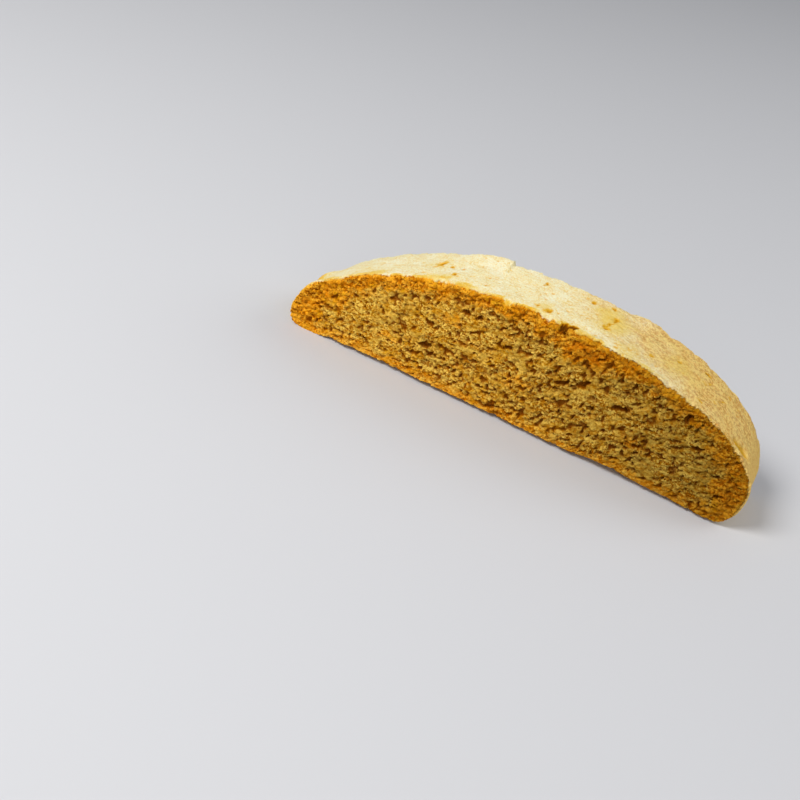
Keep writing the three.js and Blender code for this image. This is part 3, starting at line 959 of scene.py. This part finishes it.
def rim_color(graph, uneven):
    """Browned crumb: orange with brown and golden blotches, golden where skin is torn off."""
    blotch = graph.noise(3.2, 3.0, 0.65)
    gold_strength = graph.ramp(graph.split()[0], -0.01, 0.04, 1.0, 0.85)
    rim = graph.coated(RIM, (
        (blotch, 0.48, 0.62, gold_strength, RIM_GOLD),
        (blotch, 0.48, 0.40, 0.75, RIM_BROWN),
        (uneven, 1.0, 1.6, 0.85, RIM_DEEP),
    ))
    return graph.mix(graph.times(graph.mark("torn"), 0.6), rim, RIM_GOLD)


def crumb_grain(graph, color, level, browned):
    """The crumb's colour with its granules and shards light and dark, painted shade in its seams, pits and
    holes and a painted highlight on its raised crumb.
    """
    hollow = graph.mark("hollow")
    tone = graph.mark("tone")
    grain = graph.noise(0.9, 3.0, 0.65, where=level)
    speck = graph.noise(0.5, 2.0, 0.65)
    rough = graph.ramp(graph.noise(3.6, 3.0, 0.55), 0.40, 0.60, 0.25, 0.95)
    raised = graph.ramp(grain, 0.40, 0.60, 0.0, 0.4)
    shards = graph.warped(graph.stretched(**SHARD_GRAIN), 1.4, 0.8)
    _, shard_tone = graph.bits(1.6, shards)
    _, bit_tone = graph.bits(0.8, shards)
    seam = graph.seams(0.8, shards)
    pit, pit_tone = graph.bits(1.15, shards)
    pitted = graph.ramp(pit_tone, 0.45, 0.60, 0.0, 0.9)
    pale = graph.mix(browned, CRUMB_PALE, RIM_PALE)
    brown = graph.mix(browned, CRUMB_BROWN, RIM_BROWN)
    deep = graph.mix(browned, CRUMB_DARK, RIM_DARK)
    return graph.coated(color, (
        (tone, 0.44, 0.24, 0.4, brown),
        (tone, 0.55, 0.80, 0.4, pale),
        # Painted highlight: paler where the crumb stands out of its hollows.
        (hollow, 0.45, 0.05, raised, pale),
        (shard_tone, 0.55, 0.85, 0.55, pale),
        (shard_tone, 0.42, 0.15, 0.45, brown),
        (bit_tone, 0.62, 0.80, rough, pale),
        (bit_tone, 0.36, 0.20, rough, brown),
        # Painted shade in the seams between bits and in the pits.
        (seam, 0.08, 0.01, graph.times(rough, 0.4), deep),
        (pit, 0.30, 0.18, pitted, deep),
        (speck, 0.55, 0.62, rough, pale),
        (grain, 0.42, 0.30, graph.times(rough, 0.8), deep),
        (speck, 0.44, 0.37, rough, deep),
        # Painted shade in the holes and furrows.
        (hollow, 0.22, 0.90, 0.9, deep),
    ))


def crumb_color(graph):
    """Golden crumb: pale on its lumps, partly as painted highlight, painted shade in its holes and
    darkening to the right, orange under the crust.
    """
    level = graph.stretched(**BREAD_GRAIN)
    length, _, height = graph.split()
    patch = graph.noise(7.0, 2.0, 0.5, where=level)
    drift = graph.noise(4.0, 2.0, 0.5, where=level)
    golden_half = graph.math("MULTIPLY_ADD", length, -1.5, patch)
    color = graph.coated(CRUMB_GREY, (
        (golden_half, 0.42, 0.58, 1.0, CRUMB_MAIN),
        (drift, 0.55, 0.66, 0.7, CRUMB_ORANGE),
    ))
    uneven = graph.math("ADD", graph.mark("browned"), graph.fray(1.6, 4.0, 2.0))
    browned = graph.ramp(uneven, 0.05, 1.0)
    color = graph.mix(graph.times(browned, 0.9), color, rim_color(graph, uneven))
    color = graph.mix(graph.ramp(height, 0.0045, 0.0015, 0.0, 0.6), color, BASE_EDGE)
    color = crumb_grain(graph, color, level, browned)
    # Painted shade: the whole crumb darkens towards the right.
    painted_shade = {0: color, "Scale": graph.ramp(length, *CRUMB_PAINTED_SHADE)}
    return graph.add("ShaderNodeVectorMath", painted_shade, operation="SCALE").outputs[0]


def plain_crust(graph, fleck, toasted):
    """Unburst crust: cream and floury to the left, tan and streaked where it is toasted, with painted shade
    and highlight along its creases and painted light on the right nose.
    """
    cloud = graph.noise(5.0, 3.0, 0.6)
    mottle = graph.noise(1.8, 4.0, 0.7)
    crease = creases(graph)
    _, scale_tone = graph.bits(0.42, graph.warped(graph.place, 0.7, 0.3))
    length = graph.split()[0]
    cream = graph.coated(CRUST_CREAM, (
        (mottle, 0.50, 0.66, 0.6, CRUST_YELLOW),
        (cloud, 0.50, 0.36, 0.7, CRUST_FLOUR),
        # The colour follows the creases' relief: painted shade in their troughs and painted highlight on
        # their crests.
        (crease, 0.46, 0.36, 0.35, CRUST_TAN),
        (crease, 0.54, 0.64, 0.6, CRUST_FLOUR),
        (scale_tone, 0.25, 0.10, 0.45, CRUST_YELLOW),
        (scale_tone, 0.70, 0.85, 0.6, CRUST_FLOUR),
    ))
    tan = graph.coated(CRUST_TAN, (
        (cloud, 0.46, 0.40, 0.8, CRUST_DUSKY),
        (cloud, 0.54, 0.62, 0.6, CRUST_YELLOW),
        (mottle, 0.46, 0.60, 0.8, CRUST_SAND),
        (mottle, 0.46, 0.36, 0.6, CRUST_PEACH),
        # Painted shade in the crease troughs, and below a painted highlight on their crests.
        (crease, 0.52, 0.42, 0.75, CRUST_PEACH),
        (crease, 0.43, 0.35, graph.ramp(length, 0.020, 0.050, 0.55, 0.30), CRUST_BROWN),
        (fleck, 0.46, 0.36, 0.4, CRUST_BROWN),
        (crease, 0.53, 0.61, 0.9, CRUST_SAND),
        (scale_tone, 0.55, 0.75, 0.8, CRUST_SAND),
        (scale_tone, 0.35, 0.15, 0.45, CRUST_BROWN),
        # Painted light: the far right nose is brightened where the lamps leave it in shade.
        (length, 0.056, 0.062, 0.8, CRUST_NOSE_PAINTED_LIGHT),
    ))
    return graph.mix(toasted, cream, tan)


def crust_color(graph):
    """Pale floury crust, tan towards the right nose, golden where it is burst."""
    # The border of the toasted crust wanders, and leans with its place across.
    length, across, _ = graph.split()
    blotch = graph.math("SUBTRACT", graph.noise(12.0, 3.0, 0.55), 0.5)
    shifted = graph.math("MULTIPLY_ADD", blotch, 0.05, length)
    toasted = graph.ramp(graph.math("MULTIPLY_ADD", across, 0.8, shifted), 0.0, 0.045)
    fleck = graph.noise(0.4, 2.0, 0.6)
    darker = graph.mix(toasted, CRUST_YELLOW, CRUST_TAN)
    paler = graph.mix(toasted, CRUST_FLOUR, CRUST_SAND)
    fray = graph.fray(0.9, 3.0, 0.9)
    golden = graph.mark("golden")
    gilded = graph.math("MULTIPLY_ADD", golden, fray, golden)
    broken = graph.mark("broken")
    burst = graph.math("MULTIPLY_ADD", broken, graph.times(fray, 1.6), broken)
    return graph.coated(plain_crust(graph, fleck, toasted), (
        (gilded, 0.0, 0.6, 0.8, CRUST_LEMON),
        (gilded, 0.4, 1.0, 1.0, CRUST_GOLD),
        (fleck, 0.54, 0.66, 0.5, darker),
        (fleck, 0.46, 0.36, graph.ramp(golden, 0.0, 1.0, 0.6, 0.2), paler),
        (burst, 0.1, 0.8, 1.0, CRUST_BURST),
        (burst, 0.75, 1.15, 1.0, SCAR),
    ))


def bump_of(graph, crust_share):
    """Fine grain: open and rough on the crumb, dusty and puckered on the crust."""
    open_grain = graph.noise(0.7, 3.0, 0.65, where=graph.stretched(**BREAD_GRAIN))
    wrinkled = graph.ramp(graph.split()[0], 0.0, 0.03, 0.3, 0.9)
    dust = graph.times(graph.noise(0.5, 3.0, 0.7), 0.45)
    crumb = graph.times(open_grain, 0.5)
    crust = graph.math("ADD", graph.times(creases(graph), wrinkled), dust)
    height = graph.add("ShaderNodeMix", {0: crust_share, 2: crumb, 3: crust}, data_type="FLOAT")
    inputs = {"Strength": 1.0, "Distance": MM, "Height": height.outputs[0]}
    return graph.add("ShaderNodeBump", inputs).outputs["Normal"]


def biscuit_material():
    graph = Graph("biscuit")
    frayed_crust = graph.math("ADD", graph.mark("crust"), graph.fray(0.8, 3.0, 1.6))
    crust_share = graph.ramp(frayed_crust, 0.3, 0.75)
    color = graph.mix(crust_share, crumb_color(graph), crust_color(graph))
    # Painted shade: dark brown inside the deep crack and the two pits, where broken passes 1.
    color = graph.mix(graph.ramp(graph.mark("broken"), 1.0, 1.6), color, CRACK)
    color = graph.mix(graph.mark("under"), color, UNDERSIDE)
    return graph.surface({
        "Base Color": color,
        "Roughness": graph.ramp(graph.noise(0.8), 0.3, 0.7, 0.62, 0.9),
        "Normal": bump_of(graph, crust_share),
        "Specular IOR Level": 0.02,
    })


# ----- Floor, lights and camera -----

FLOOR_SIDE = 8.0
FLOOR_COLOR = rgb(0.62, 0.63, 0.66)
FLOOR_ROUGHNESS = 0.8

# Lights: where each stands from the point they aim at, its side, its power in
# watts and its colour.
LIGHTS_AIM = (0, 0, 0.015)
LIGHTS = {
    "key": {"at": (-0.33, -0.34, 0.53), "side": 0.3, "watts": 3.9, "color": (1.0, 0.98, 0.95)},
    "fill": {"at": (0.35, -1.0, 0.45), "side": 0.9, "watts": 2.6, "color": (1.0, 0.99, 0.97)},
    "back": {"at": (0.60, 0.40, 0.50), "side": 0.6, "watts": 2.2, "color": (1.0, 0.99, 0.97)},
}
WORLD_COLOR = rgb(0.96, 0.97, 1.0)
WORLD_STRENGTH = 0.3

# The camera, as it was fitted to the photo, in millimetres.
LENS = 50.0
SENSOR = 36.0
CAMERA_AT = (50.7, -238.7, 153.7)
CAMERA_AIM = (-21.9, -21.8, 1.2)
CAMERA_ROLL = math.radians(15.4)


def make_floor():
    half = FLOOR_SIDE / 2
    mesh = bpy.data.meshes.new("floor")
    corners = [(-half, -half, 0), (half, -half, 0), (half, half, 0), (-half, half, 0)]
    mesh.from_pydata(corners, [], [(0, 1, 2, 3)])
    floor = in_scene("floor", mesh)
    material = Graph("pale_floor").surface({"Base Color": FLOOR_COLOR, "Roughness": FLOOR_ROUGHNESS})
    mesh.materials.append(material)


def make_lights():
    middle = Vector(LIGHTS_AIM)
    for name, light in LIGHTS.items():
        data = bpy.data.lights.new(name, "AREA")
        data.shape = "DISK"
        data.size = light["side"]
        data.energy = light["watts"]
        data.color = light["color"]
        lamp = in_scene(name, data)
        lamp.location = middle + Vector(light["at"])
        lamp.rotation_euler = (-Vector(light["at"])).to_track_quat("-Z", "Y").to_euler()
    world = bpy.data.worlds.new("studio")
    world.use_nodes = True
    background = world.node_tree.nodes["Background"]
    background.inputs["Color"].default_value = WORLD_COLOR
    background.inputs["Strength"].default_value = WORLD_STRENGTH
    bpy.context.scene.world = world


def make_camera():
    data = bpy.data.cameras.new("camera")
    data.lens = LENS
    data.sensor_width = SENSOR
    data.clip_start = 0.01
    data.clip_end = 50
    camera = in_scene("camera", data)
    at, aim = Vector(CAMERA_AT) * MM, Vector(CAMERA_AIM) * MM
    turn = (aim - at).to_track_quat("-Z", "Y").to_matrix().to_4x4()
    camera.matrix_world = Matrix.Translation(at) @ turn @ Matrix.Rotation(CAMERA_ROLL, 4, "Z")
    bpy.context.scene.camera = camera


def main():
    make_camera()
    make_floor()
    make_lights()
    piece = build_slice()
    piece.data.materials.append(biscuit_material())
    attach(piece, "root")
    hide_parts("biscotto")
    bpy.context.scene.view_settings.view_transform = "Standard"


main()
